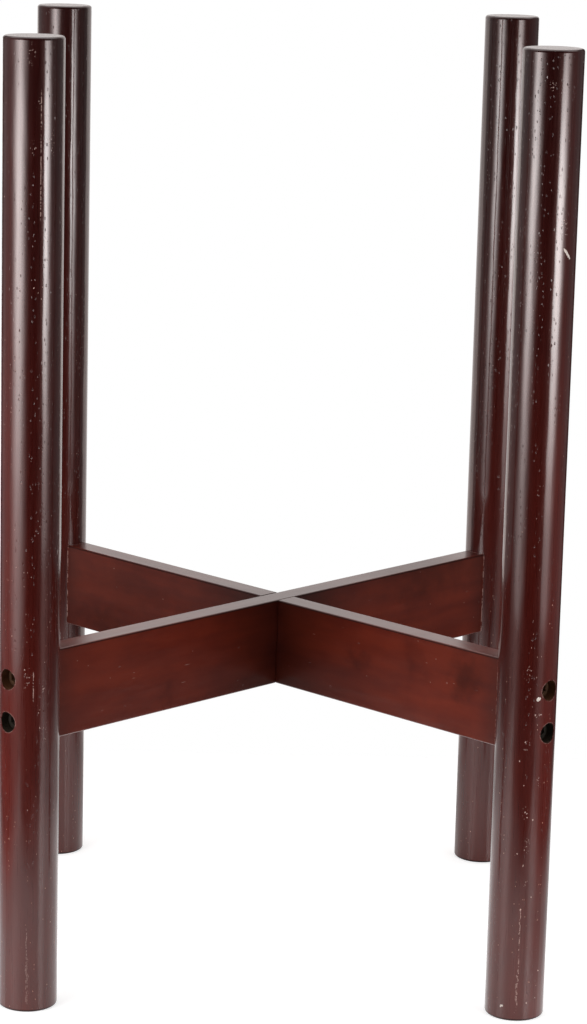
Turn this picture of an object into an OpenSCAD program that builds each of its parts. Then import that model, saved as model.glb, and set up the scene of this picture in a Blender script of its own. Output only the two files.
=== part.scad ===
// Plant stand: four round legs round two crossed rails.
//
// The rails stand on edge along the diagonals and are half-lapped where they cross, so a pot rests on
// their top edges and the legs hold it in place. Each rail end is coped to its round leg, and two
// socket-head bolts go through the leg into threaded inserts in the end of the rail.
//
// Millimetres, +Z up. The origin is on the floor, midway between the legs. The front is towards -Y.

/* [Stand] */
// Height from the floor to the tops of the legs
stand_height = 490; // [400:5:700]
// Distance between the centres of two neighbouring legs
leg_spacing = 249; // [180:1:400]

/* [Legs] */
// Diameter of a leg
leg_diameter = 30; // [26:0.5:40]
// Radius of the eased edge at both ends of a leg
leg_end_radius = 1.5; // [0.5:0.1:3]

/* [Rails] */
// Thickness of a rail
rail_thickness = 12.7; // [12:0.1:20]
// Height of a rail, which stands on its edge
rail_height = 46; // [42:1:80]
// Height of the rails' lower edges above the floor
rail_underside = 139.5; // [60:0.5:200]
// Radius along the long edges of a rail
rail_edge_radius = 0.8; // [0.3:0.1:2]

/* [Bolts] */
// Distance between the two bolts of a joint, one above the other
bolt_pitch = 22; // [16:1:28]
// Diameter of a bolt's thread
bolt_diameter = 6; // [4:0.5:6]
// Length of a bolt that stands out of the leg, into the rail
bolt_reach = 11; // [8:0.5:20]
// Diameter of a bolt's head
bolt_head_diameter = 10; // [9:0.5:12]
// Height of a bolt's head
bolt_head_height = 6; // [5:0.5:8]
// Width across the flats of the hexagonal socket in the head
hex_key_size = 5; // [3:0.5:6]
// Depth of the hexagonal socket
hex_socket_depth = 3; // [1:0.5:4]
// Chamfer round the head's outer end and round the bolt's tip
bolt_chamfer = 0.6; // [0.2:0.1:1]

/* [Inserts] */
// Outer diameter of a threaded insert, over its barbs
insert_diameter = 9; // [8:0.5:10.5]
// Length of a threaded insert
insert_length = 12; // [8:0.5:20]
// Height of the barbs that hold the insert in the wood
insert_barb_height = 0.5; // [0.2:0.1:0.7]
// Number of barbs along the insert
insert_barbs = 4; // [2:1:8]
// How far the insert is sunk below the end of the rail
insert_inset = 0.5; // [0.1:0.1:2]

/* [Fits] */
// Depth of the counterbore in the leg, from the leg's surface to the seat of the head
counterbore_depth = 11; // [9:0.5:14]
// Gap round the bolt's head in its counterbore
counterbore_clearance = 0.25; // [0.1:0.05:0.5]
// Gap round the bolt's shank in the leg
shank_clearance = 0.3; // [0.1:0.05:0.5]
// Gap round the bolt's thread in its insert
thread_clearance = 0.05; // [0.02:0.01:0.1]
// Gap round the insert in its pilot hole
insert_clearance = 0.05; // [0.02:0.01:0.1]
// Depth of the pilot hole past the insert and the tip of the bolt
pilot_spare = 2; // [0.5:0.5:5]
// Gap between a rail's coped end and its leg
cope_clearance = 0.1; // [0.05:0.05:0.5]
// Gap on each side of a rail in the other rail's notch
lap_clearance = 0.4; // [0.1:0.1:1]

/* [Hidden] */
$fn = 96;
leg_radius = leg_diameter / 2;
// From the middle of the stand to the centre of a leg, along a rail
leg_distance = leg_spacing / sqrt(2);
rail_centre_z = rail_underside + rail_height / 2;
counterbore_diameter = bolt_head_diameter + 2 * counterbore_clearance;
shank_hole_diameter = bolt_diameter + 2 * shank_clearance;
bolt_length = leg_diameter - counterbore_depth + bolt_reach;
insert_bore_diameter = bolt_diameter + 2 * thread_clearance;
pilot_diameter = insert_diameter + 2 * insert_clearance;
// Places along a joint's axis, from the leg's centre; positive is away from the middle of the stand
head_seat_x = leg_radius - counterbore_depth;
rail_end_x = -leg_radius - cope_clearance;
insert_face_x = rail_end_x - insert_inset;
pilot_end_x = min(insert_face_x - insert_length, head_seat_x - bolt_length) - pilot_spare;
// Length by which a cutting shape passes the surface that it cuts
cut_over = 1;

mahogany_leg = [0.26, 0.08, 0.07];
mahogany_rail = [0.33, 0.11, 0.09];
black_steel = [0.09, 0.09, 0.09];
brass = [0.72, 0.58, 0.30];

// How far each rail is turned from the X axis, to run along a diagonal
rail_over_turn = 45;
rail_under_turn = -45;

// Each corner has its name and the direction from the middle of the stand to its leg
CORNERS = [["front_left", 225], ["front_right", 315], ["back_left", 135], ["back_right", 45]];
// Each level has its name and the height of its bolts
LEVELS = [["upper", rail_centre_z + bolt_pitch / 2], ["lower", rail_centre_z - bolt_pitch / 2]];

function leg_name(corner) = str("leg_", corner[0]);
function bolt_name(corner, level) = str("bolt_", corner[0], "_", level[0]);
function insert_name(corner, level) = str("insert_", corner[0], "_", level[0]);

// Moves to a leg's centre on the floor, with +X pointing away from the middle of the stand
module at_corner(corner) {
    rotate([0, 0, corner[1]]) translate([leg_distance, 0, 0]) children();
}

// A cylinder along X between two places, for bolts, inserts and the holes that take them
module rod_x(diameter, from_x, to_x) {
    translate([from_x, 0, 0]) rotate([0, 90, 0]) cylinder(d = diameter, h = to_x - from_x);
}

// Half the outline of a leg, with both ends eased
module leg_outline() {
    square([leg_radius - leg_end_radius, stand_height]);
    translate([0, leg_end_radius]) square([leg_radius, stand_height - 2 * leg_end_radius]);
    for (y = [leg_end_radius, stand_height - leg_end_radius])
        translate([leg_radius - leg_end_radius, y]) circle(r = leg_end_radius);
}

module leg(corner) {
    color(mahogany_leg) at_corner(corner) difference() {
        rotate_extrude() leg_outline();
        for (level = LEVELS) translate([0, 0, level[1]]) {
            rod_x(shank_hole_diameter, -leg_radius - cut_over, head_seat_x + cut_over);
            rod_x(counterbore_diameter, head_seat_x, leg_radius + cut_over);
        }
    }
}

// Cross-section of a rail, with its long edges rounded
module rail_section() {
    square([rail_thickness - 2 * rail_edge_radius, rail_height], center = true);
    square([rail_thickness, rail_height - 2 * rail_edge_radius], center = true);
    for (x = [-1, 1], y = [-1, 1])
        translate([x * (rail_thickness / 2 - rail_edge_radius), y * (rail_height / 2 - rail_edge_radius)])
            circle(r = rail_edge_radius);
}

// What one end of a rail loses: the leg's round, and a pilot hole for each insert
module rail_end_cut() {
    translate([0, 0, -cut_over]) cylinder(r = leg_radius + cope_clearance, h = stand_height + 2 * cut_over);
    for (level = LEVELS) translate([0, 0, level[1]]) rod_x(pilot_diameter, pilot_end_x, 0);
}

// A rail along X, with its half-lap notch on the side of the given sign: 1 is above, -1 is below
module rail(notch_side) {
    notch_width = rail_thickness + 2 * lap_clearance;
    difference() {
        translate([0, 0, rail_centre_z]) rotate([90, 0, 90])
            linear_extrude(2 * leg_distance, center = true) rail_section();
        for (turn = [0, 180]) rotate([0, 0, turn]) translate([leg_distance, 0, 0]) rail_end_cut();
        translate([0, 0, rail_centre_z + notch_side * rail_height / 2])
            cube([notch_width, rail_thickness + 2 * cut_over, rail_height], center = true);
    }
}

// From the front-left leg to the back-right leg, unbroken along its top
module rail_over() {
    color(mahogany_rail) rotate([0, 0, rail_over_turn]) rail(-1);
}

// From the back-left leg to the front-right leg, notched from above
module rail_under() {
    color(mahogany_rail) rotate([0, 0, rail_under_turn]) rail(1);
}

// Half the outline of a bolt: its head stands above zero and its shank hangs below
module bolt_outline() {
    head_radius = bolt_head_diameter / 2;
    shank_radius = bolt_diameter / 2;
    polygon([
        [0, -bolt_length],
        [shank_radius - bolt_chamfer, -bolt_length],
        [shank_radius, -bolt_length + bolt_chamfer],
        [shank_radius, 0],
        [head_radius, 0],
        [head_radius, bolt_head_height - bolt_chamfer],
        [head_radius - bolt_chamfer, bolt_head_height],
        [0, bolt_head_height]
    ]);
}

module bolt(corner, level) {
    hex_across_corners = hex_key_size / cos(30);
    color(black_steel) at_corner(corner) translate([head_seat_x, 0, level[1]]) rotate([0, 90, 0])
        difference() {
            rotate_extrude() bolt_outline();
            translate([0, 0, bolt_head_height - hex_socket_depth])
                cylinder(d = hex_across_corners, h = hex_socket_depth + cut_over, $fn = 6);
        }
}

// Half the outline of an insert, from its mouth at zero down; the barbs slope out towards the mouth
module insert_outline() {
    outer_radius = insert_diameter / 2;
    core_radius = outer_radius - insert_barb_height;
    bore_radius = insert_bore_diameter / 2;
    barb_step = insert_length / insert_barbs;
    barb_points = [for (i = [0 : insert_barbs - 1])
        each [[outer_radius, -i * barb_step], [core_radius, -(i + 1) * barb_step]]];
    polygon(concat([[bore_radius, 0]], barb_points, [[bore_radius, -insert_length]]));
}

module insert(corner, level) {
    color(brass) at_corner(corner) translate([insert_face_x, 0, level[1]]) rotate([0, 90, 0])
        rotate_extrude() insert_outline();
}

for (corner = CORNERS) {
    leg(corner);
    for (level = LEVELS) {
        bolt(corner, level);
        insert(corner, level);
    }
}
rail_over();
rail_under();
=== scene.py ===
"""The looks of a plant stand: dark stained wood under lacquer, with sunk bolts, on a white studio floor.

Everything is in metres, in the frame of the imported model: +Z up, the front towards -Y, the floor at z = 0.
A turn round a leg is in degrees from the front (-Y), and grows towards the right (+X). In the functions
that shade, tree is the node tree that they add to, and at is the point that is shaded.
"""

import functools
import math
from collections import namedtuple

import bpy
from mathutils import Matrix, Vector


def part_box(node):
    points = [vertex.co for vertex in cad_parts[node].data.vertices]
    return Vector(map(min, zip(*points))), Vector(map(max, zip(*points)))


MM = 0.001
CORNERS = ("front_left", "front_right", "back_left", "back_right")
# How far each rail and its grain are turned from +X, in degrees
RAIL_TURNS = {"rail_over": 45, "rail_under": -45}
# How far 1 along a diagonal reaches along X and along Y
DIAGONAL = math.sqrt(0.5)

# --- Values of the studio -------------------------------------------------------------------------

# The camera, fitted to the edges of the legs and rails; its turns are in degrees, its lens in millimetres
CAMERA_PLACE = (-0.02177, -1.64851, 0.59479)
CAMERA_DOWN = 12.41
CAMERA_YAW = -1.014
CAMERA_ROLL = 1.446
CAMERA_LENS = 110.96

# The two softboxes, left and right of the camera: where each one's middle stands and how wide it is. From
# the edge nearer to the camera: where its light starts, where it is brightest, and how far from there it
# dims. How bright it is, how much of that is left at its foot and its top, and the heights over which it
# rises from the one and falls to the other
SOFTBOXES = {
    "softbox_left": dict(
        place=(-0.59, -0.54),
        width=0.94,
        start=0.0,
        brightest=0.47,
        spread=0.21,
        radiance=11.6,
        foot=0.175,
        rise=(0.055, 0.37),
        fall=(0.36, 0.46),
        top=0.65,
    ),
    "softbox_right": dict(
        place=(0.715, -0.633),
        width=0.90,
        start=0.18,
        brightest=0.36,
        spread=0.21,
        radiance=16.4,
        foot=0.11,
        rise=(0.055, 0.315),
        fall=(0.32, 0.46),
        top=0.26,
    ),
}
# The heights of their lower and upper ends, and how wide the soft edge at each of their sides is
SOFTBOX_LOW = 0.01
SOFTBOX_HIGH = 0.56
SOFTBOX_EDGE = 0.05
# How many times farther their light spreads at the foot, and the heights over which that ends
SOFTBOX_FOOT_SPREAD = 1.3
SOFTBOX_FOOT = (0.02, 0.22)

# The floor: where its front edge and its side edges lie, and how white its paint is round the stand and
# away from it. It ends at the sheet behind the stand
FLOOR_FRONT = -0.70
FLOOR_SIDE = 0.70
FLOOR_WHITE = 0.60
FLOOR_DARK = 0.05
# The distances to the side and to the front over which it darkens, and how much farther to the front that
# is for each step to the side
FLOOR_FADE_SIDE = (0.29, 0.44)
FLOOR_FADE_FRONT = (0.24, 0.36)
FLOOR_FADE_SLANT = 0.5
# The white that it adds for the camera alone where its paint is white; where that is dark, it adds 1
FLOOR_OWN_WHITE = 0.64
# What the lacquer reflects of the floor: a pool of light, with the distances from its middle over which it
# ends, and the glare of the softboxes
POOL_GLOW = 0.5
POOL_PLACE = (-0.03, -0.14, 0.0)
POOL_FADE = (0.17, 0.30)
GLARE = 0.08
GLARE_ROUGHNESS = 0.20
# How much shorter a step along Y counts in the pool than one along X
POOL_STRETCH = 0.8

# A white sheet behind the stand: its left and right edges, its height and its distance
SHEET_EDGES = (-0.30, 0.23)
SHEET_HIGH = 1.0
SHEET_PLACE = 0.32
# How its middle and its sides light the stand, the distances from the middle over which the sides begin,
# and the heights over which they end
SHEET_GLOW = (0.72, 0.67, 0.655)
SHEET_SIDE_GLOW = (1.0, 0.92, 0.88)
SHEET_SIDES = (0.11, 0.14)
SHEET_SIDES_TOP = (0.44, 0.50)

# The studio round the stand: how bright it is in front, at the left, at the right and above, and how much
# of the light from the sides is left behind the sheet
STUDIO_FRONT = 0.01
STUDIO_LEFT = 0.28
STUDIO_RIGHT = 0.16
STUDIO_ABOVE = 1.6
STUDIO_BEHIND = 0.12
# The parts of a direction over which these turn into each other: along X from left to right, and along Y
# from the front to the sides and from the sides to what is behind
LEFT_TO_RIGHT = (-0.5, 0.5)
FRONT_TO_SIDES = (-0.75, 0.0)
SIDES_TO_BEHIND = (0.66, 0.80)
# The light from above begins over these parts along Z, and over these along Y
ABOVE_RISE = (0.45, 0.85)
ABOVE_START = (-0.45, 0.0)

# --- Values of the wood ---------------------------------------------------------------------------

# The stain: its darkest and its lightest colour, how much of the change between them follows the fibres,
# and how many of the places for a pore have one
LEG_STAIN = dict(dark=(0.036, 0.0038, 0.0029), light=(0.054, 0.0060, 0.0042), streaks=0.12, pores=0.9)
RAIL_STAIN = dict(dark=(0.086, 0.0084, 0.0032), light=(0.142, 0.0160, 0.0055), streaks=0.03, pores=0.03)
# A colour by which another one is multiplied without a change
NO_TINT = (1.0, 1.0, 1.0)

# The detail of noise that is fine, and the middle level of all noise
FINE = 3
NOISE_MIDDLE = 0.5
# What varies along the grain: the tone, the mottle, the fibres, the waves of the surface, and the rows in
# which the pores stand
TONE = dict(length=110 * MM, width=14 * MM, detail=FINE)
MOTTLE = dict(length=22 * MM, width=9 * MM, detail=4)
FIBRES = dict(length=26 * MM, width=0.8 * MM, detail=4, roughness=0.6)
WAVES = dict(length=45 * MM, width=8 * MM)
ROWS = dict(length=70 * MM, width=4 * MM)
# How much of the change of colour follows the tone
TONE_SHARE = 0.6
# The levels of noise between which the colour goes from dark to light, the roughness from low to high, and
# rows and patches from none to full
COLOUR_LEVELS = (0.34, 0.66)
ROUGHNESS_LEVELS = (0.3, 0.7)
ROW_LEVELS = (0.48, 0.58)
PATCH_LEVELS = (0.44, 0.54)

# Two kinds of pores, pale specks and pits: how wide a pore's place is, its radius, and how many of the
# pores are of this kind. The specks are raised, and their pale colour is partly worn stain and partly a
# painted glint
GRAIN_SPECKS = dict(cell=0.9 * MM, radius=0.17 * MM, share=0.2)
GRAIN_PITS = dict(cell=1.5 * MM, radius=0.34 * MM, share=1.0)
# How many times longer than wide a pore is, and the part of its radius up to which it has its full strength
DRAWN_OUT = 2.6
DOT_CORE = 0.6

# The roughness of the wood under its lacquer, and how much of the streaks it follows
WOOD_ROUGHNESS = 0.32
ROUGHNESS_SPREAD = 0.5
# The height that the bump counts in, and how many times that high or deep things are; pale specks and
# splashes are once that high
BUMP_STEP = 0.05 * MM
FIBRE_BUMP = 0.5
WAVE_BUMP = 4.0
PIT_BUMP = 2.2
CHIP_BUMP = 1.5
END_GRAIN_BUMP = 1.2

# The clear lacquer: its index of refraction, how rough it is on the legs and on the rails, and how much of
# it there is on the rails' sides, where their edges have 1
LACQUER_IOR = 1.5
LEG_COAT_ROUGHNESS = 0.11
RAIL_COAT_ROUGHNESS = 0.20
RAIL_SIDE_COAT = 0.65
# The broad shine under the lacquer: its level and its tint
UNDER_SHINE = 0.30
UNDER_TINT = (1.0, 0.55, 0.50)

# Painted light and shade: the stain is made redder and lighter at the foot of a leg than at its top, for the
# light from the floor at the foot and the dimmer light at the top
FOOT_LIGHT_TINT = (1.55, 1.30, 1.05)
TOP_SHADE_TINT = (0.42, 0.60, 0.78)
# Painted light: the stain is made lighter on the legs' left and right outer sides, which the softboxes light
# from the side; those sides begin over these parts of the leg's radius, though it is less so at the foot,
# which ends over these heights
OUTER_LIGHT_TINT = (1.8, 1.6, 1.5)
OUTER_START = (0.1, 0.7)
OUTER_AT_FOOT = 0.3
FOOT_END = (30 * MM, 140 * MM)
# Painted shade: the rails are made darker where they cross and shade each other, up to this distance from
# the middle of the stand
CROSSING_SHADE_TINT = (0.36, 0.42, 0.50)
CROSSING_REACH = 90 * MM
# and darker next to the legs, partly painted shade and partly real stain
RAIL_END_SHADE_AND_STAIN = (0.62, 0.62, 0.68)
RAIL_END_REACH = 16 * MM

# Dark lines of painted shade: at the feet of the legs, with the heights over which it ends, and
# under the upper edges of the rails, with the distances from the edge over which it starts and ends, and
# how dark it is
EDGE_SHADE_COLOUR = (0.010, 0.0020, 0.0016)
FOOT_LINE_END = (1.6 * MM, 0.8 * MM)
EDGE_LINE_START = (0.15 * MM, 0.35 * MM)
EDGE_LINE_END = (1.3 * MM, 0.7 * MM)
EDGE_LINE_STRENGTH = 0.8

# Bare wood where the lacquer is chipped; stain that is worn thin, which also paints highlights and glints;
# and stain in pale marks, which also paints glints
BARE_WOOD = (0.75, 0.66, 0.60)
WORN_STAIN_AND_HIGHLIGHT = (0.36, 0.21, 0.18)
PALE_STAIN_AND_GLINT = (0.66, 0.44, 0.38)
# Wear at the rims of the bolt holes and along the lower edges of the rails, and at the rails' ends
# wear with a painted highlight: how strong it is, and how far from the edge it starts and is full,
# counted in rim widths
RIM_WIDTH = 0.55 * MM
HOLE_WEAR = dict(start=1.0, full=0.3, strength=0.4)
EDGE_WEAR = dict(start=1.0, full=0.4, strength=0.5)
END_WEAR_AND_HIGHLIGHT = dict(start=1.8, full=1.0, strength=0.8)
# How large the worn patches are
LEG_WORN_PATCH = 2 * MM
RAIL_WORN_PATCH = 1.5 * MM

# The walls of the bolt holes, above and below the middle between them
DRILLED_UPPER = (0.105, 0.044, 0.020)
DRILLED_LOWER = (0.034, 0.026, 0.018)
# They lie at least this deep under a leg's surface, and within this many radii of a hole's axis
HOLE_SKIN = 0.3 * MM
HOLE_REACH = 2.0
# The gap between a bolt's head and its hole
BORE_CLEARANCE = 0.25 * MM

# The end of the grain at the top of a leg: how thick it is, and its cells, which run through it along Z
END_GRAIN_DEPTH = 0.2 * MM
END_GRAIN_CELL = (0.9 * MM, 0.9 * MM, 1.0)

# --- Values of the marks on the wood --------------------------------------------------------------

# The parts of its half size between which a mark goes from none to full
CHIP_EDGE = (1.1, 0.9)
SPECK_EDGE = (1.1, 0.76)
SPLASH_EDGE = (1.0, 0.5)
SCRATCH_ENDS = (1.0, 0.9)
RAIL_MARK_EDGE = (1.2, 0.5)
PATCH_EDGE = (1.3, 0.2)
# Half of a mark's depth: its middle is at the surface of a leg, or in the middle of a rail's thickness
CHIP_DEPTH = 2 * MM
SPLASH_DEPTH = 4 * MM
SCRATCH_DEPTH = 3 * MM
RAIL_MARK_DEPTH = 10 * MM
PATCH_DEPTH = 20 * MM
# How the outlines of the marks on the legs and of the rails' patches wander: over which cells, and how far
LEG_RAGGED = dict(cell=0.8 * MM, reach=1.5 * MM)
PATCH_RAGGED = dict(cell=7 * MM, reach=16 * MM)
# The crumbs of a splash: the size of a crumb's cell, its radius in cells, and how many cells have a crumb
CRUMB_CELL = (0.9 * MM, 0.9 * MM, 1.1 * MM)
CRUMBS = dict(radius=0.32, share=0.7)
# How pale splashes and the marks on the rails are
SPLASH_PALENESS = 0.65
RAIL_MARK_PALENESS = 0.7
# A scratch: the distances from its middle line over which it ends, the sizes of its bends and of its gaps,
# and the levels of noise between which the gaps end
SCRATCH_LINE = (0.30 * MM, 0.08 * MM)
SCRATCH_BEND = (20 * MM, 20 * MM, 3 * MM)
SCRATCH_GAP = 1.2 * MM
SCRATCH_GAP_LEVELS = (0.40, 0.54)

# Chips on the legs: the corner, the turn round the leg, the height, the length and the width, all three in
# millimetres, and how far the lower end leans to the right, in degrees
CHIPS = [
    ("front_right", 38.3, 392.5, 7.3, 1.3, 40),
    ("front_right", 17.7, 169.9, 2.3, 1.9, -60),
    ("front_right", -30.8, 7.6, 2.1, 1.2, -50),
]

# Painted glints on the legs: pale specks that stand in for glints of the lacquer; the corner, the turn round
# the leg, and the height and the width in millimetres
SPECKS = [
    ("front_right", 12.6, 161.7, 0.65),
    ("front_right", 22.7, 161.8, 0.65),
    ("front_right", -14.0, 137.8, 0.9),
    ("front_right", -0.4, 130.9, 0.6),
    ("front_right", -4.0, 125.3, 0.6),
    ("front_right", -4.3, 147.9, 0.7),
    ("front_right", 11.1, 181.1, 0.65),
    ("front_right", 0.6, 111.3, 0.6),
    ("front_right", 5.1, 108.6, 0.6),
    ("front_right", 16.1, 107.2, 0.6),
    ("front_right", -11.1, 89.4, 0.65),
    ("front_right", 2.6, 91.4, 0.6),
    ("front_right", 0.4, 83.1, 0.7),
    ("front_right", 6.8, 74.8, 0.6),
    ("front_right", 19.6, 66.5, 0.6),
    ("front_right", -0.4, 59.9, 0.6),
    ("front_right", 18.9, 10.0, 0.65),
    ("front_right", 39.3, 11.9, 0.65),
    ("front_right", 44.1, 26.2, 0.65),
    ("front_left", -5.7, 179.9, 0.65),
    ("front_left", 21.9, 157.5, 0.65),
    ("front_left", 32.5, 183.4, 0.65),
    ("front_left", 30.5, 169.6, 0.6),
    ("front_left", 24.0, 149.7, 0.6),
    ("front_left", -62.4, 413.2, 0.65),
    ("front_left", 6.3, 370.3, 0.6),
    ("front_left", 14.9, 367.9, 0.6),
    ("front_left", 20.9, 364.9, 0.6),
    ("front_left", 22.6, 370.7, 0.6),
]

# Thin scratches down the legs: the corner, the turn round the leg, the heights of both ends, how far each
# one sways, in millimetres, and how pale it is
SCRATCHES = [
    ("front_right", -0.2, 7.0, 61.0, 1.1, 0.5),
    ("front_right", -1.5, 4.0, 26.0, 2.0, 0.35),
    ("front_left", 0.6, 4.0, 46.0, 1.1, 0.22),
    ("front_left", 3.0, 4.0, 30.0, 1.6, 0.18),
    ("front_left", 10.8, 163.0, 179.0, 0.3, 0.5),
    ("front_left", 18.1, 402.0, 466.0, 0.15, 0.6),
]

# Splashes of fine marks on the legs: the corner, the turn round the leg, the height, and half of each one's
# width and height in millimetres
SPLASHES = [
    ("front_right", -4.0, 473.0, 2.2, 3.0),
    ("front_right", 30.0, 405.0, 2.5, 7.0),
    ("front_right", -6.0, 183.5, 2.4, 4.5),
    ("front_right", 17.6, 161.4, 3.2, 1.6),
    ("front_right", -2.6, 147.0, 2.8, 4.5),
    ("front_right", 25.2, 125.8, 1.6, 4.0),
    ("front_right", 1.0, 111.0, 2.0, 4.5),
    ("front_right", 6.6, 93.6, 1.8, 5.0),
    ("front_right", 6.5, 74.2, 1.8, 2.5),
    ("front_left", 0.0, 482.0, 2.4, 7.0),
    ("front_left", 10.0, 459.0, 3.0, 4.0),
    ("front_left", 4.0, 437.0, 2.2, 5.0),
    ("front_left", 30.5, 441.0, 2.4, 3.0),
    ("front_left", 42.0, 440.0, 1.2, 12.0),
    ("front_left", 1.2, 176.0, 2.4, 6.0),
    ("front_left", 29.4, 169.0, 1.6, 3.5),
    ("front_left", 33.6, 146.0, 2.0, 5.0),
]

# Short pale marks along the rails: how far along the rail from the middle of the stand (positive is towards
# the front), the height, the length and the width, all in millimetres
RAIL_MARKS = {
    "rail_over": [
        (73.0, 161.6, 5.5, 0.45),
        (75.4, 152.5, 4.5, 0.45),
        (110.8, 164.0, 2.0, 0.40),
        (110.9, 161.1, 3.0, 0.35),
        (127.3, 164.1, 0.9, 0.70),
        (149.9, 177.2, 0.9, 0.80),
        (142.5, 173.3, 0.9, 0.90),
        (69.1, 168.2, 0.9, 0.70),
        (-146.1, 159.4, 0.9, 0.70),
        (-154.9, 149.4, 0.9, 0.80),
    ],
    "rail_under": [
        (33.8, 172.2, 2.6, 0.40),
        (128.3, 165.3, 1.2, 1.20),
        (133.0, 166.0, 1.6, 0.45),
        (120.3, 176.3, 1.0, 0.90),
        (114.0, 173.0, 1.8, 0.40),
        (-123.0, 179.0, 1.0, 0.90),
        (-82.6, 169.0, 1.0, 0.80),
    ],
}

# Patches on the rails: how far along the rail from the middle of the stand (positive is towards the front),
# the height, both half sizes, all in millimetres, what the colour is multiplied by, and how much less
# lacquer there is
PATCHES = {
    "rail_over": [
        (86, 149, 8, 6, (0.75, 0.70, 0.70), 0.3),
        (-115, 182, 55, 18, (0.50, 0.52, 0.55), 0.3),
    ],
    "rail_under": [
        (128, 154, 42, 16, (1.40, 1.42, 1.30), 0.0),
        (66, 165, 10, 6, (0.65, 0.60, 0.60), 0.4),
        (104, 175, 8, 11, (0.75, 0.70, 0.70), 0.3),
        (141, 170, 13, 14, (0.50, 0.50, 0.55), 0.5),
        (-110, 165, 60, 40, (0.64, 0.64, 0.64), 0.1),
        (-135, 146, 30, 10, (0.60, 0.62, 0.65), 0.3),
    ],
}

# --- Values of the metal --------------------------------------------------------------------------

# The upper and the lower bolts of the joints: their colour where it is dull and where it is bright, and the
# dust in their sockets
UPPER_BOLTS = dict(dull=(0.030, 0.014, 0.007), bright=(0.050, 0.023, 0.011), dust=(0.110, 0.056, 0.030))
LOWER_BOLTS = dict(dull=(0.012, 0.010, 0.007), bright=(0.020, 0.016, 0.012), dust=(0.040, 0.033, 0.026))
# Their coating: its least and its greatest roughness, the size of the cells over which that and the colour
# vary, how much bare metal it is, and how glossy
COATING = dict(rough_low=0.60, rough_high=0.80, cell=2.5 * MM, bare=0.0, gloss=0.1)
# The dust ends over these distances from a bolt's axis
DUST_END = (2.9 * MM, 2.61 * MM)
# The brass of the inserts, in the same terms
BRASS = dict(
    dull=(0.52, 0.36, 0.16),
    bright=(0.72, 0.55, 0.27),
    rough_low=0.28,
    rough_high=0.42,
    cell=2.0 * MM,
)
# The levels of noise between which a metal's colour goes from dull to bright
METAL_LEVELS = (0.35, 0.65)
# The grit of its surface: how many grains are as wide as a cell of its colour, and how high they are
GRIT_GRAINS = 8
GRIT_BUMP = 0.02 * MM

# --- The stand ------------------------------------------------------------------------------------

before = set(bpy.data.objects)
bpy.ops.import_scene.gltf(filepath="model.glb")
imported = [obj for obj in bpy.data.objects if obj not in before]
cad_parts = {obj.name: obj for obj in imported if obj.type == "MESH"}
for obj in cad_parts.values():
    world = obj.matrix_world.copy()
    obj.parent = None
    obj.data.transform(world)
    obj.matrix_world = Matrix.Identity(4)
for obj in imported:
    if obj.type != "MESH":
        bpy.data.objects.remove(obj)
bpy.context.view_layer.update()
leg_low, leg_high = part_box("leg_front_left")
leg_radius = (leg_high.x - leg_low.x) / 2
lower_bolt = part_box("bolt_front_left_lower")
upper_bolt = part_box("bolt_front_left_upper")
bolts_apart = upper_bolt[0].z - lower_bolt[0].z
bolts_middle = (upper_bolt[1].z + lower_bolt[0].z) / 2
bore_radius = (upper_bolt[1].z - upper_bolt[0].z) / 2 + BORE_CLEARANCE


def leg_centre(corner):
    low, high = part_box("leg_" + corner)
    return (low + high) / 2


def dress(name_start, material):
    for name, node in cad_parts.items():
        if name.startswith(name_start):
            for slot in node.material_slots:
                slot.material = material


# --- Shading as formulas --------------------------------------------------------------------------

# Which sockets of a Mix node are the ones for colours
MIX_SHARE = 0
MIX_FIRST = 6
MIX_SECOND = 7
MIX_RESULT = 2


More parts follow.
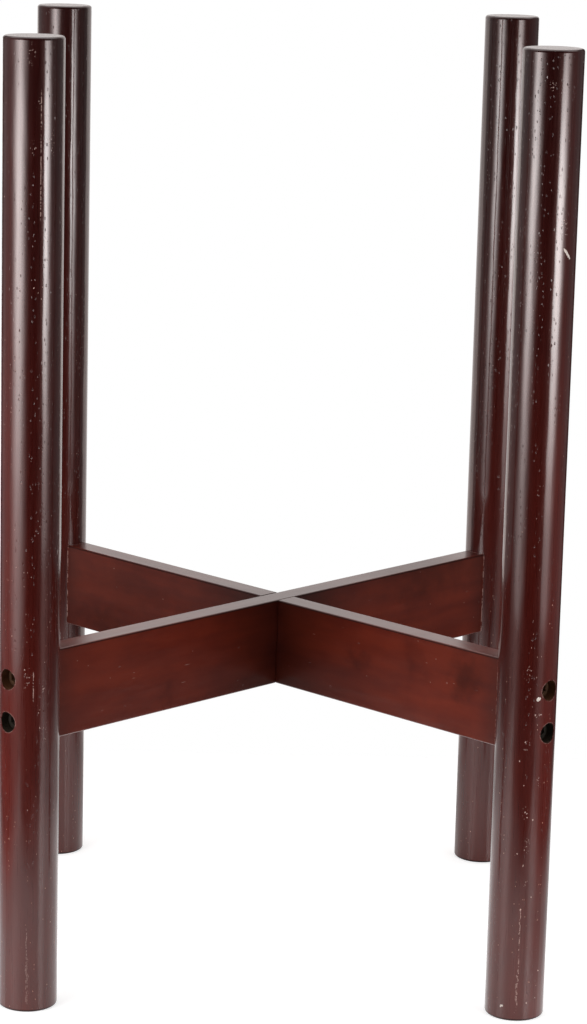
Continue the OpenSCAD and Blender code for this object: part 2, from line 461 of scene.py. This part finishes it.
class Tree:
    """A node tree; its methods add a node and return its output, so that shading reads as a formula."""

    def __init__(self, tree):
        self.tree = tree
        tree.nodes.clear()

    def feed(self, socket, value):
        if isinstance(value, bpy.types.NodeSocket):
            self.tree.links.new(value, socket)
        elif socket.type == "RGBA":
            socket.default_value = (*value, 1.0)
        else:
            socket.default_value = value

    def put(self, kind, inputs=None, **settings):
        node = self.tree.nodes.new(kind)
        for name, value in settings.items():
            setattr(node, name, value)
        for name, value in (inputs or {}).items():
            self.feed(node.inputs[name], value)
        return node

    def math(self, operation, first, second=0.0):
        return self.put("ShaderNodeMath", {0: first, 1: second}, operation=operation).outputs[0]

    def chain(self, operation, values):
        """The operation on the first two values, then on what that gives and the third, and so on."""
        return functools.reduce(functools.partial(self.math, operation), values)

    def plus(self, *values):
        return self.chain("ADD", values)

    def minus(self, first, second):
        return self.math("SUBTRACT", first, second)

    def times(self, *values):
        return self.chain("MULTIPLY", values)

    def largest(self, *values):
        return self.chain("MAXIMUM", values)

    def noise(self, at, detail=2.0, roughness=0.5):
        inputs = {"Vector": at, "Scale": 1.0, "Detail": detail, "Roughness": roughness}
        return self.put("ShaderNodeTexNoise", inputs).outputs["Fac"]

    def fade(self, value, start, end, low=0.0, high=1.0):
        """Goes smoothly from low to high as the value goes from start to end."""
        inputs = {"Value": value, "From Min": start, "From Max": end, "To Min": low, "To Max": high}
        return self.put("ShaderNodeMapRange", inputs, interpolation_type="SMOOTHSTEP").outputs["Result"]

    def mix(self, share, first, second, blend="MIX"):
        node = self.put("ShaderNodeMix", data_type="RGBA", blend_type=blend)
        self.feed(node.inputs[MIX_SHARE], share)
        self.feed(node.inputs[MIX_FIRST], first)
        self.feed(node.inputs[MIX_SECOND], second)
        return node.outputs[MIX_RESULT]

    def tint(self, colour, tint):
        return self.mix(1.0, colour, tint, blend="MULTIPLY")

    def fitted(self, at, place=(0, 0, 0), turn=(0, 0, 0), size=(1, 1, 1)):
        """Coordinates in a frame of that place and turn, in which a length of that size is 1."""
        inputs = {"Vector": at, "Location": place, "Rotation": turn, "Scale": size}
        return self.put("ShaderNodeMapping", inputs, vector_type="TEXTURE").outputs["Vector"]

    def scaled(self, at, cell):
        """Coordinates in which a cell of that size is 1 each way."""
        return self.fitted(at, size=(cell,) * 3)

    def vector(self, operation, inputs):
        return self.put("ShaderNodeVectorMath", inputs, operation=operation).outputs["Vector"]

    def length(self, vector):
        return self.put("ShaderNodeVectorMath", {0: vector}, operation="LENGTH").outputs["Value"]

    def flat_length(self, x, y):
        return self.length(self.put("ShaderNodeCombineXYZ", {0: x, 1: y}).outputs[0])

    def parts(self, vector):
        return self.put("ShaderNodeSeparateXYZ", {0: vector}).outputs

    def bump(self, height, distance):
        inputs = {"Height": height, "Distance": distance, "Strength": 1.0}
        return self.put("ShaderNodeBump", inputs).outputs["Normal"]


def new_material(name):
    material = bpy.data.materials.new(name)
    material.use_nodes = True
    return material, Tree(material.node_tree)


def piece_material(name):
    """A material, its node tree, and the point of the piece that it shades."""
    material, tree = new_material(name)
    return material, tree, tree.put("ShaderNodeTexCoord").outputs["Object"]


def surface(tree, shader):
    tree.put("ShaderNodeOutputMaterial", {"Surface": shader.outputs[0]})


# --- Wood -----------------------------------------------------------------------------------------

# A point's distances from its leg's centre: across, outwards along the rail, sideways, and in all
LegPoint = namedtuple("LegPoint", "across outwards sideways from_axis")


def along_grain(tree, at, grain_turn, length, width):
    """Coordinates in which a fibre of that length and width is 1 long and 1 wide."""
    return tree.fitted(at, turn=grain_turn, size=(length, width, width))


def grain_noise(tree, at, grain_turn, length, width, **kind):
    """Noise that is drawn out along the grain."""
    return tree.noise(along_grain(tree, at, grain_turn, length, width), **kind)


def dots(tree, at, radius, share):
    """1 in dots of that radius, one to a cell 1 wide: about that share of the cells has one."""
    cells = tree.put("ShaderNodeTexVoronoi", {"Vector": at, "Scale": 1.0}).outputs
    dot = tree.fade(cells["Distance"], radius, DOT_CORE * radius)
    return tree.times(dot, tree.math("LESS_THAN", tree.parts(cells["Color"])[0], share))


def grain_dots(tree, at, grain_turn, pores, cell, radius, share):
    """Pores that are drawn out along the grain and stand in rows."""
    places = along_grain(tree, at, grain_turn, DRAWN_OUT * cell, cell)
    drawn = dots(tree, places, radius / cell, share * pores)
    rows = grain_noise(tree, at, grain_turn, **ROWS)
    return tree.times(drawn, tree.fade(rows, *ROW_LEVELS))


def wood(tree, at, grain_turn, dark, light, streaks, pores):
    """What both woods share: a colour, a roughness and a height for the bump."""
    tone = grain_noise(tree, at, grain_turn, **TONE)
    mottle = grain_noise(tree, at, grain_turn, **MOTTLE)
    fibres = grain_noise(tree, at, grain_turn, **FIBRES)
    waves = grain_noise(tree, at, grain_turn, **WAVES)
    specks = grain_dots(tree, at, grain_turn, pores, **GRAIN_SPECKS)
    pits = grain_dots(tree, at, grain_turn, pores, **GRAIN_PITS)

    tone = tree.times(tone, TONE_SHARE)
    mottle = tree.times(mottle, 1.0 - TONE_SHARE - streaks)
    mixed = tree.plus(tone, mottle, tree.times(fibres, streaks))
    colour = tree.mix(tree.fade(mixed, *COLOUR_LEVELS), dark, light)
    # Pale specks: partly worn stain, partly painted glints
    colour = tree.mix(specks, colour, WORN_STAIN_AND_HIGHLIGHT)

    spread = ROUGHNESS_SPREAD * streaks
    roughness = tree.fade(fibres, *ROUGHNESS_LEVELS, WOOD_ROUGHNESS - spread, WOOD_ROUGHNESS + spread)
    height = tree.plus(tree.times(fibres, FIBRE_BUMP * streaks), tree.times(waves, WAVE_BUMP), specks)
    height = tree.minus(height, tree.times(pits, PIT_BUMP))
    return colour, roughness, height


def lacquered(tree, colour, roughness, height, coat, coat_roughness):
    bump = tree.bump(height, BUMP_STEP)
    inputs = {
        "Base Color": colour,
        "Roughness": roughness,
        "Specular IOR Level": UNDER_SHINE,
        "Specular Tint": UNDER_TINT,
        "Normal": bump,
        "Coat Weight": coat,
        "Coat Roughness": coat_roughness,
        "Coat IOR": LACQUER_IOR,
        "Coat Normal": bump,
    }
    return tree.put("ShaderNodeBsdfPrincipled", inputs)


def ragged(tree, at, cell, reach):
    """Coordinates that wander by up to half that reach over cells of that size, for an uneven outline."""
    bends = tree.put("ShaderNodeTexNoise", {"Vector": tree.scaled(at, cell), "Scale": 1.0})
    shift = tree.vector("SUBTRACT", {0: bends.outputs["Color"], 1: (NOISE_MIDDLE,) * 3})
    shift = tree.vector("SCALE", {0: shift, "Scale": reach})
    return tree.vector("ADD", {0: at, 1: shift})


def patchy(tree, at, cell):
    """1 in about half of the places and 0 in the others, in patches of that size."""
    return tree.fade(tree.noise(tree.scaled(at, cell), detail=FINE), *PATCH_LEVELS)


def wear(tree, place, edge, start, full, strength):
    """Goes from 0 to that strength between those numbers of rim widths past an edge."""
    return tree.fade(place, edge + start * RIM_WIDTH, edge + full * RIM_WIDTH, 0.0, strength)


def oval(tree, at, place, turn, half_size, edge):
    """1 in an oval mark, 0 elsewhere; its edge is between those parts of its half size."""
    return tree.fade(tree.length(tree.fitted(at, place, turn, half_size)), *edge)


def leg_section(tree, x, y):
    """The LegPoint of the point that is shaded."""
    centre = abs(leg_centre("front_left").x)
    across = tree.minus(tree.math("ABSOLUTE", x), centre)
    deep = tree.minus(tree.math("ABSOLUTE", y), centre)
    outwards = tree.times(tree.plus(across, deep), DIAGONAL)
    sideways = tree.times(tree.minus(across, deep), DIAGONAL)
    return LegPoint(across, outwards, sideways, tree.flat_length(across, deep))


def from_bolt_axis(tree, sideways, z):
    """How far a point is from the centre line of the nearer of its leg's two bolts."""
    from_middle = tree.math("ABSOLUTE", tree.minus(z, bolts_middle))
    return tree.flat_length(sideways, tree.minus(from_middle, bolts_apart / 2))


def on_leg(corner, turn, height, lean=0.0):
    """The place on a leg's surface at that turn and height, and the turn there of a mark with that lean."""
    side = math.radians(turn)
    centre = leg_centre(corner)
    place = (centre.x + leg_radius * math.sin(side), centre.y - leg_radius * math.cos(side), height * MM)
    return place, (0, -math.radians(lean), side)


def chip(tree, at, corner, turn, height, length, width, lean):
    half_size = (width / 2 * MM, CHIP_DEPTH, length / 2 * MM)
    return oval(tree, at, *on_leg(corner, turn, height, lean), half_size, CHIP_EDGE)


# A pale speck: a painted glint of the lacquer
def speck(tree, at, corner, turn, height, width):
    return oval(tree, at, *on_leg(corner, turn, height), (width / 2 * MM,) * 3, SPECK_EDGE)


def splash(tree, at, crumbs, corner, turn, height, half_width, half_height):
    half_size = (half_width * MM, SPLASH_DEPTH, half_height * MM)
    return tree.times(crumbs, oval(tree, at, *on_leg(corner, turn, height), half_size, SPLASH_EDGE))


def scratch(tree, at, corner, turn, low, high, reach, paleness):
    """The paleness on a thin broken line down a leg, 0 elsewhere."""
    middle = on_leg(corner, turn, (low + high) / 2)
    # This oval is wider than the line, and only ends it at its tips
    half_size = (SCRATCH_DEPTH, SCRATCH_DEPTH, (high - low) / 2 * MM)
    inside = oval(tree, at, *middle, half_size, SCRATCH_ENDS)
    sideways = tree.parts(tree.fitted(at, *middle))[0]
    sway = tree.minus(tree.noise(tree.fitted(at, size=SCRATCH_BEND), detail=FINE), NOISE_MIDDLE)
    off_line = tree.math("ABSOLUTE", tree.plus(sideways, tree.times(sway, 2 * reach * MM)))
    gaps = tree.fade(tree.noise(tree.scaled(at, SCRATCH_GAP)), *SCRATCH_GAP_LEVELS)
    return tree.times(tree.fade(off_line, *SCRATCH_LINE), inside, gaps, paleness)


def leg_marks(tree, at):
    """How splashed, how pale and how bare a leg is at a point, each from 0 to 1; the pale includes painted
    glints.
    """
    uneven = ragged(tree, at, **LEG_RAGGED)
    crumbs = dots(tree, tree.fitted(uneven, size=CRUMB_CELL), **CRUMBS)
    splashed = tree.largest(*(splash(tree, at, crumbs, *row) for row in SPLASHES))
    pale = tree.largest(
        tree.times(splashed, SPLASH_PALENESS),
        *(scratch(tree, at, *row) for row in SCRATCHES),
        # Specks of painted glint
        *(speck(tree, uneven, *row) for row in SPECKS),
    )
    bare = tree.largest(*(chip(tree, uneven, *row) for row in CHIPS))
    return splashed, pale, bare


def leg_holes(tree, at, z, point):
    """1 on the walls of a leg's bolt holes, and how worn their rims are."""
    from_hole = from_bolt_axis(tree, point.sideways, z)
    at_hole = tree.math("LESS_THAN", from_hole, HOLE_REACH * bore_radius)
    below_skin = tree.math("LESS_THAN", point.from_axis, leg_radius - HOLE_SKIN)
    rim = wear(tree, from_hole, bore_radius, **HOLE_WEAR)
    outside = tree.math("GREATER_THAN", point.outwards, 0.0)
    worn = tree.times(rim, outside, patchy(tree, at, LEG_WORN_PATCH))
    return tree.times(at_hole, below_skin), worn


def leg_tints(tree, colour, z, across):
    """The colour with painted light and shade: its change from a leg's foot to its top, and towards its
    outer side.
    """
    rise = tree.math("DIVIDE", z, leg_high.z)
    # Painted light towards the foot and painted shade towards the top
    colour = tree.tint(colour, tree.mix(rise, FOOT_LIGHT_TINT, TOP_SHADE_TINT))
    # Painted light on the outer sides, where the softboxes light the legs from the side
    outer = tree.fade(across, *(share * leg_radius for share in OUTER_START))
    outer = tree.times(outer, tree.fade(z, *FOOT_END, OUTER_AT_FOOT, 1.0))
    return tree.mix(outer, colour, tree.tint(colour, OUTER_LIGHT_TINT))


def leg_wood():
    material, tree, at = piece_material("leg_wood")
    x, y, z = tree.parts(at)
    up_the_leg = (0, math.radians(90), 0)
    colour, roughness, height = wood(tree, at, up_the_leg, **LEG_STAIN)
    point = leg_section(tree, x, y)
    colour = leg_tints(tree, colour, z, point.across)

    hole_walls, worn = leg_holes(tree, at, z, point)
    splashed, pale, bare = leg_marks(tree, at)
    colour = tree.mix(worn, colour, WORN_STAIN_AND_HIGHLIGHT)
    colour = tree.mix(pale, colour, PALE_STAIN_AND_GLINT)
    colour = tree.mix(bare, colour, BARE_WOOD)
    upper = tree.math("GREATER_THAN", z, bolts_middle)
    colour = tree.mix(hole_walls, colour, tree.mix(upper, DRILLED_LOWER, DRILLED_UPPER))
    # Painted shade: a dark line round the foot
    foot_shade_line = tree.fade(z, *FOOT_LINE_END)
    colour = tree.mix(foot_shade_line, colour, EDGE_SHADE_COLOUR)

    end_grain = tree.noise(tree.fitted(at, size=END_GRAIN_CELL), detail=FINE)
    at_top = tree.math("GREATER_THAN", z, leg_high.z - END_GRAIN_DEPTH)
    height = tree.minus(tree.plus(height, splashed), tree.times(bare, CHIP_BUMP))
    height = tree.plus(height, tree.times(end_grain, at_top, END_GRAIN_BUMP))
    coat = tree.minus(1.0, tree.largest(hole_walls, bare, foot_shade_line))
    surface(tree, lacquered(tree, colour, roughness, height, coat, LEG_COAT_ROUGHNESS))
    return material


def on_rail(grain, along, height):
    """The place in a rail that far along it towards the front and at that height, and the rail's turn."""
    front = -1 if grain > 0 else 1
    place = (front * along * MM * math.cos(grain), front * along * MM * math.sin(grain), height * MM)
    return place, (0, 0, grain)


def rail_mark(tree, at, grain, along, height, length, width):
    half_size = (length / 2 * MM, RAIL_MARK_DEPTH, width / 2 * MM)
    return oval(tree, at, *on_rail(grain, along, height), half_size, RAIL_MARK_EDGE)


def rail_patches(tree, at, name, grain, colour):
    """The colour with a rail's patches on it, and how much less lacquer they have."""
    uneven = ragged(tree, at, **PATCH_RAGGED)
    thin = 0.0
    for along, height, half_length, half_height, tint, thinner in PATCHES[name]:
        half_size = (half_length * MM, PATCH_DEPTH, half_height * MM)
        share = oval(tree, uneven, *on_rail(grain, along, height), half_size, PATCH_EDGE)
        colour = tree.mix(share, colour, tree.tint(colour, tint))
        thin = tree.largest(thin, tree.times(share, thinner))
    return colour, thin


def rail_tints(tree, colour, x, y, from_leg_axis):
    """The colour with painted shade where the rails cross, and with painted shade and real stain next to the
    legs.
    """
    # Painted shade where the rails cross
    from_crossing = tree.fade(tree.flat_length(x, y), 0.0, CROSSING_REACH)
    colour = tree.tint(colour, tree.mix(from_crossing, CROSSING_SHADE_TINT, NO_TINT))
    # Painted shade and real stain next to the legs
    from_leg = tree.fade(from_leg_axis, leg_radius, leg_radius + RAIL_END_REACH)
    return tree.tint(colour, tree.mix(from_leg, RAIL_END_SHADE_AND_STAIN, NO_TINT))


def rail_wood(name, grain_degrees):
    """The wood of one rail, whose grain runs at that turn from +X."""
    material, tree, at = piece_material(name + "_wood")
    x, y, z = tree.parts(at)
    grain = math.radians(grain_degrees)
    colour, roughness, height = wood(tree, at, (0, 0, grain), **RAIL_STAIN)
    from_leg_axis = leg_section(tree, x, y).from_axis
    colour = rail_tints(tree, colour, x, y, from_leg_axis)
    colour, thin = rail_patches(tree, at, name, grain, colour)
    pale = tree.largest(*(rail_mark(tree, at, grain, *row) for row in RAIL_MARKS[name]))
    colour = tree.mix(tree.times(pale, RAIL_MARK_PALENESS), colour, WORN_STAIN_AND_HIGHLIGHT)

    # Worn lines along the lower edges, a pale line down the coped ends that is partly wear and partly a
    # painted highlight, and a dark line of painted shade under the upper edges
    low, high = (corner.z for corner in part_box(name))
    lower_edge = wear(tree, z, low, **EDGE_WEAR)
    end = wear(tree, from_leg_axis, leg_radius, **END_WEAR_AND_HIGHLIGHT)
    worn = tree.times(tree.largest(lower_edge, end), patchy(tree, at, RAIL_WORN_PATCH))
    colour = tree.mix(worn, colour, WORN_STAIN_AND_HIGHLIGHT)
    down = tree.minus(high, z)
    # Painted shade: a dark line under the upper edge
    edge_shade_line = tree.fade(down, *EDGE_LINE_END, 0.0, EDGE_LINE_STRENGTH)
    edge_shade_line = tree.times(tree.fade(down, *EDGE_LINE_START), edge_shade_line)
    colour = tree.mix(edge_shade_line, colour, EDGE_SHADE_COLOUR)

    coat = tree.fade(down, *EDGE_LINE_START, 1.0, RAIL_SIDE_COAT)
    coat = tree.minus(coat, tree.times(edge_shade_line, RAIL_SIDE_COAT))
    coat = tree.times(coat, tree.minus(1.0, thin))
    surface(tree, lacquered(tree, colour, roughness, height, coat, RAIL_COAT_ROUGHNESS))
    return material


# --- Metal ----------------------------------------------------------------------------------------


def metal(name, dull, bright, rough_low, rough_high, cell, bare=1.0, gloss=0.5, dust=None):
    """Metal, or its coating where bare is 0; dust is the colour of the dust in the bolts' sockets."""
    material, tree, at = piece_material(name)
    cloud = tree.noise(tree.scaled(at, cell), detail=FINE)
    grit = tree.noise(tree.scaled(at, cell / GRIT_GRAINS))
    colour = tree.mix(tree.fade(cloud, *METAL_LEVELS), dull, bright)
    if dust:
        x, y, z = tree.parts(at)
        from_axis = from_bolt_axis(tree, leg_section(tree, x, y).sideways, z)
        colour = tree.mix(tree.fade(from_axis, *DUST_END), colour, dust)
    inputs = {
        "Base Color": colour,
        "Roughness": tree.fade(cloud, *ROUGHNESS_LEVELS, rough_low, rough_high),
        "Metallic": bare,
        "Specular IOR Level": gloss,
        "Normal": tree.bump(grit, GRIT_BUMP),
    }
    surface(tree, tree.put("ShaderNodeBsdfPrincipled", inputs))
    return material


# --- Studio ---------------------------------------------------------------------------------------


def add_object(name, data):
    made = bpy.data.objects.new(name, data)
    bpy.context.scene.collection.objects.link(made)
    return made


def turned(degrees, axis):
    return Matrix.Rotation(math.radians(degrees), 4, axis)


def make_camera():
    data = bpy.data.cameras.new("camera")
    data.lens = CAMERA_LENS
    camera = add_object("camera", data)
    turns = turned(CAMERA_YAW, "Z") @ turned(90 - CAMERA_DOWN, "X") @ turned(CAMERA_ROLL, "Z")
    camera.matrix_world = Matrix.Translation(CAMERA_PLACE) @ turns
    bpy.context.scene.camera = camera


def softbox_glow(tree, place, width, start, brightest, spread, foot, rise, fall, top):
    """How much of a softbox's brightness a point of it has, from 0 to 1."""
    geometry = tree.put("ShaderNodeNewGeometry").outputs
    across = tree.parts(geometry["Parametric"])[0]
    # The edge where across is 0 is the one nearer to the camera on the right, and the other one on the left
    if place[0] < 0:
        across = tree.minus(1.0, across)
    across = tree.times(across, width)
    up = tree.parts(geometry["Position"])[2]
    reach = tree.fade(up, *SOFTBOX_FOOT, SOFTBOX_FOOT_SPREAD * spread, spread)
    off = tree.math("DIVIDE", tree.minus(across, brightest), reach)
    dimmed = tree.math("EXPONENT", tree.times(off, off, -1.0))
    near_side = tree.fade(across, start, start + SOFTBOX_EDGE)
    far_side = tree.fade(across, width, width - SOFTBOX_EDGE)
    low_end = tree.fade(up, *rise, foot, 1.0)
    high_end = tree.fade(up, *fall, 1.0, top)
    return tree.times(dimmed, near_side, far_side, low_end, high_end)


def make_softbox(name, place, width, radiance, **light):
    """A tall lamp that faces the stand, and dims towards its sides, its foot and its top."""
    data = bpy.data.lights.new(name, "AREA")
    data.shape = "RECTANGLE"
    data.size = width
    data.size_y = SOFTBOX_HIGH - SOFTBOX_LOW
    data.energy = radiance * math.pi * data.size * data.size_y
    data.use_nodes = True
    tree = Tree(data.node_tree)
    glow = tree.put("ShaderNodeEmission", {"Strength": softbox_glow(tree, place, width, **light)})
    tree.put("ShaderNodeOutputLight", {"Surface": glow.outputs[0]})

    lamp = add_object(name, data)
    backwards = Vector((*place, 0)).normalized()
    upwards = Vector((0, 0, 1))
    axes = Matrix((upwards.cross(backwards), upwards, backwards)).transposed()
    middle = Vector((*place, (SOFTBOX_HIGH + SOFTBOX_LOW) / 2))
    lamp.matrix_world = Matrix.Translation(middle) @ axes.to_4x4()


def make_world():
    """Grey at the sides, dark in front and white above; the camera itself sees plain white."""
    world = bpy.data.worlds.new("studio")
    bpy.context.scene.world = world
    world.use_nodes = True
    tree = Tree(world.node_tree)
    x, y, z = tree.parts(tree.put("ShaderNodeTexCoord").outputs["Generated"])
    sides = tree.fade(x, *LEFT_TO_RIGHT, STUDIO_LEFT, STUDIO_RIGHT)
    front = tree.fade(y, *FRONT_TO_SIDES, STUDIO_FRONT, 1.0)
    behind = tree.fade(y, *SIDES_TO_BEHIND, 1.0, STUDIO_BEHIND)
    above = tree.fade(y, *ABOVE_START, 0.0, STUDIO_ABOVE)
    above = tree.times(tree.fade(z, *ABOVE_RISE), above)
    seen = tree.put("ShaderNodeLightPath").outputs["Is Camera Ray"]
    strength = tree.largest(tree.times(sides, front, behind), above, seen)
    backdrop = tree.put("ShaderNodeBackground", {"Color": (1.0, 1.0, 1.0), "Strength": strength})
    tree.put("ShaderNodeOutputWorld", {"Surface": backdrop.outputs[0]})


def make_sheet(name, corners, material):
    """A flat piece of the studio."""
    mesh = bpy.data.meshes.new(name)
    mesh.from_pydata(corners, [], [(0, 1, 2, 3)])
    mesh.materials.append(material)
    add_object(name, mesh)


def make_floor():
    material, tree = new_material("floor_white")
    at = tree.put("ShaderNodeNewGeometry").outputs["Position"]
    x, y, _ = tree.parts(at)
    beside = tree.math("ABSOLUTE", x)
    ahead = tree.minus(tree.times(y, -1.0), tree.times(beside, FLOOR_FADE_SLANT))
    dark = tree.largest(tree.fade(beside, *FLOOR_FADE_SIDE), tree.fade(ahead, *FLOOR_FADE_FRONT))
    paint = tree.mix(dark, (FLOOR_WHITE,) * 3, (FLOOR_DARK,) * 3)
    lit = tree.put("ShaderNodeBsdfDiffuse", {"Color": paint})

    ray = tree.put("ShaderNodeLightPath").outputs
    white = tree.times(ray["Is Camera Ray"], tree.fade(dark, 0.0, 1.0, FLOOR_OWN_WHITE, 1.0))
    from_pool = tree.length(tree.fitted(at, POOL_PLACE, size=(1.0, 1.0 / POOL_STRETCH, 1.0)))
    pool = tree.times(ray["Is Glossy Ray"], tree.fade(from_pool, *POOL_FADE, POOL_GLOW, 0.0))
    own = tree.put("ShaderNodeEmission", {"Strength": tree.largest(white, pool)})
    glare = tree.mix(ray["Is Glossy Ray"], (0.0,) * 3, (GLARE,) * 3)
    glare = tree.put("ShaderNodeBsdfGlossy", {"Color": glare, "Roughness": GLARE_ROUGHNESS})
    shine = tree.put("ShaderNodeAddShader", {0: own.outputs[0], 1: glare.outputs[0]})
    surface(tree, tree.put("ShaderNodeAddShader", {0: lit.outputs[0], 1: shine.outputs[0]}))
    corners = [
        (-FLOOR_SIDE, FLOOR_FRONT, 0),
        (FLOOR_SIDE, FLOOR_FRONT, 0),
        (FLOOR_SIDE, SHEET_PLACE, 0),
        (-FLOOR_SIDE, SHEET_PLACE, 0),
    ]
    make_sheet("floor", corners, material)


def make_backdrop():
    """A sheet that lights the stand from behind; the camera sees through it, to the white world."""
    material, tree = new_material("backdrop_white")
    x, _, z = tree.parts(tree.put("ShaderNodeNewGeometry").outputs["Position"])
    side = tree.fade(tree.math("ABSOLUTE", x), *SHEET_SIDES)
    side = tree.times(side, tree.fade(z, *SHEET_SIDES_TOP, 1.0, 0.0))
    sheet = tree.put("ShaderNodeEmission", {"Color": tree.mix(side, SHEET_GLOW, SHEET_SIDE_GLOW)})
    clear = tree.put("ShaderNodeBsdfTransparent")
    seen = tree.put("ShaderNodeLightPath").outputs["Is Camera Ray"]
    surface(tree, tree.put("ShaderNodeMixShader", {0: seen, 1: sheet.outputs[0], 2: clear.outputs[0]}))
    left, right = SHEET_EDGES
    corners = [
        (left, SHEET_PLACE, 0),
        (right, SHEET_PLACE, 0),
        (right, SHEET_PLACE, SHEET_HIGH),
        (left, SHEET_PLACE, SHEET_HIGH),
    ]
    make_sheet("backdrop", corners, material)


# --- The whole scene ------------------------------------------------------------------------------

dress("leg_", leg_wood())
for name, turn in RAIL_TURNS.items():
    dress(name, rail_wood(name, turn))
dusty_steel = metal("dusty_steel", **UPPER_BOLTS, **COATING)
black_oxide = metal("black_oxide", **LOWER_BOLTS, **COATING)
for corner in CORNERS:
    dress(f"bolt_{corner}_upper", dusty_steel)
    dress(f"bolt_{corner}_lower", black_oxide)
dress("insert_", metal("brass", **BRASS))

make_camera()
for name, settings in SOFTBOXES.items():
    make_softbox(name, **settings)
make_world()
make_floor()
make_backdrop()
bpy.context.scene.view_settings.view_transform = "Standard"
